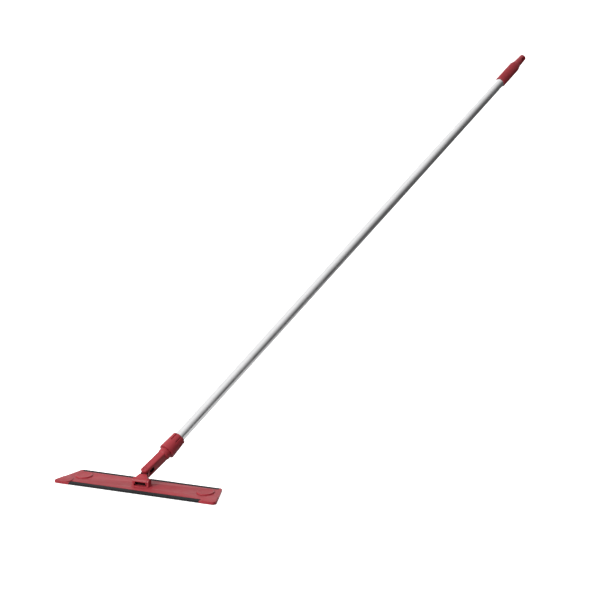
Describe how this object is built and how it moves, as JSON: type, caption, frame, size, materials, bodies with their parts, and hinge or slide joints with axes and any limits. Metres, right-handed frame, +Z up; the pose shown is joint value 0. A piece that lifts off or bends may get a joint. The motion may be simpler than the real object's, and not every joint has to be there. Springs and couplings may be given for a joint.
{
  "type": "flat mop",
  "caption": "Flat mop: a trapezoid head with soft edge strips and hook tape, a two-axis tilting joint, a twist-lock socket and a long round pole with a ribbed grip and hanging eye.",
  "frame": {"origin": "middle of the head's sole, on the face of the middle hook tape, where the head meets the floor", "axes": "+X along the head's length, +Y from its long front edge towards its short rear edge, over which the pole leans, +Z up from the floor"},
  "size_m": [0.7061, 1.4019, 0.8672],
  "materials": {
    "red_plastic": "moulded polypropylene, satin",
    "edge_rubber": "soft moulded strip, matt",
    "hook_tape": "woven tape with moulded hooks",
    "screw_steel": "zinc plated",
    "pole_aluminium": "satin anodised, drawn tube"
  },
  "bodies": {
    "handle": {"pole": "pole_aluminium", "hand_grip": "red_plastic", "hanging_eye": "red_plastic"},
    "arm": {"arm": "red_plastic", "upper_pin": "red_plastic", "upper_pin_ring": "red_plastic"},
    "collar": {"locking_collar": "red_plastic"},
    "block": {"cross_block": "red_plastic"},
    "head": {"base_plate": "red_plastic", "front_edge_strip": "edge_rubber", "rear_edge_strip": "edge_rubber", "hook_tape_front": "hook_tape", "hook_tape_middle": "hook_tape", "hook_tape_rear": "hook_tape", "left_round_cap": "red_plastic", "right_round_cap": "red_plastic", "hinge_bracket": "red_plastic", "bracket_screw_1": "screw_steel", "bracket_screw_2": "screw_steel", "bracket_screw_3": "screw_steel", "bracket_screw_4": "screw_steel", "lower_pin": "red_plastic", "lower_pin_ring": "red_plastic"}
  },
  "joints": [
    {"name": "pole_slide", "type": "slide", "parent": "handle", "child": "arm", "axis": [-0.304, -0.8061, -0.5077], "range_m": [0, 0.035]},
    {"name": "collar_twist", "type": "hinge", "parent": "arm", "child": "collar", "pos_m": [0.02828, 0.09925, 0.07129], "axis": [0.304, 0.8061, 0.5077], "range_deg": [0, 180]},
    {"name": "arm_tilt", "type": "hinge", "parent": "arm", "child": "block", "pos_m": [0, 0.02151, 0.02848], "axis": [0, 0.5329, -0.8462], "range_deg": [-64.3, 99.7]},
    {"name": "head_pitch", "type": "hinge", "parent": "block", "child": "head", "pos_m": [0, -0.001, 0.0143], "axis": [1, 0, 0], "range_deg": [-132.8, 8.2]}
  ]
}
